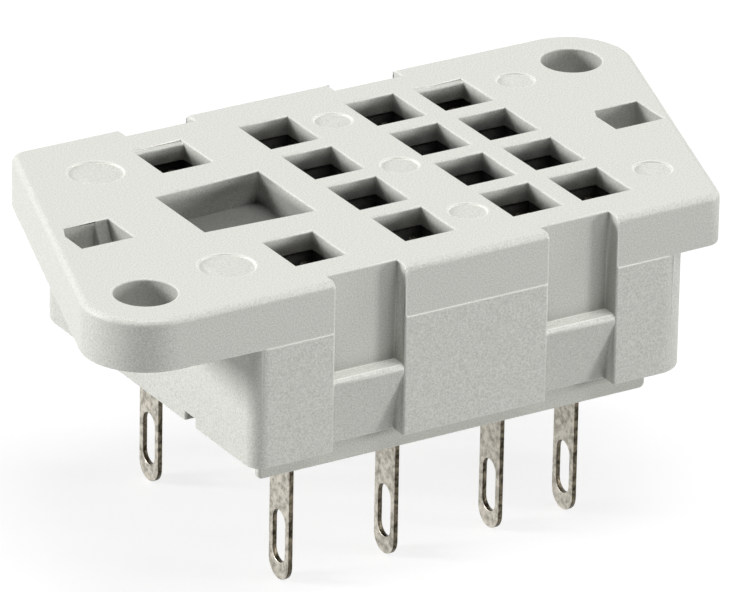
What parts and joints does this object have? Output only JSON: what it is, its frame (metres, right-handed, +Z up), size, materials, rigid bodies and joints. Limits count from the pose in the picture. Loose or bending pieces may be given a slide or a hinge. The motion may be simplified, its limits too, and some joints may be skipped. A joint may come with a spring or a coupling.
{
  "type": "relay socket",
  "caption": "Light grey moulded socket for a plug-in relay, with slanted screw flange, snap wedges and tinned solder tags",
  "frame": {"origin": "Bottom centre of the socket, on the plane of the tag tips, midway between the two screw holes", "axes": "+X along the flange towards the normally closed contacts, +Y across it towards the back, +Z up to the relay"},
  "size_m": [0.041, 0.022, 0.018],
  "materials": {
    "housing_plastic": "fine matt moulded",
    "base_plastic": "fine matt moulded",
    "tinned_strip": "tin plated, satin"
  },
  "bodies": {
    "root": {"housing": "housing_plastic", "base_plate": "base_plastic", "coil_terminal_1": "tinned_strip", "coil_terminal_2": "tinned_strip", "common_terminal_1": "tinned_strip", "common_terminal_2": "tinned_strip", "open_terminal_1": "tinned_strip", "open_terminal_2": "tinned_strip", "closed_terminal_1": "tinned_strip", "closed_terminal_2": "tinned_strip"}
  },
  "joints": []
}
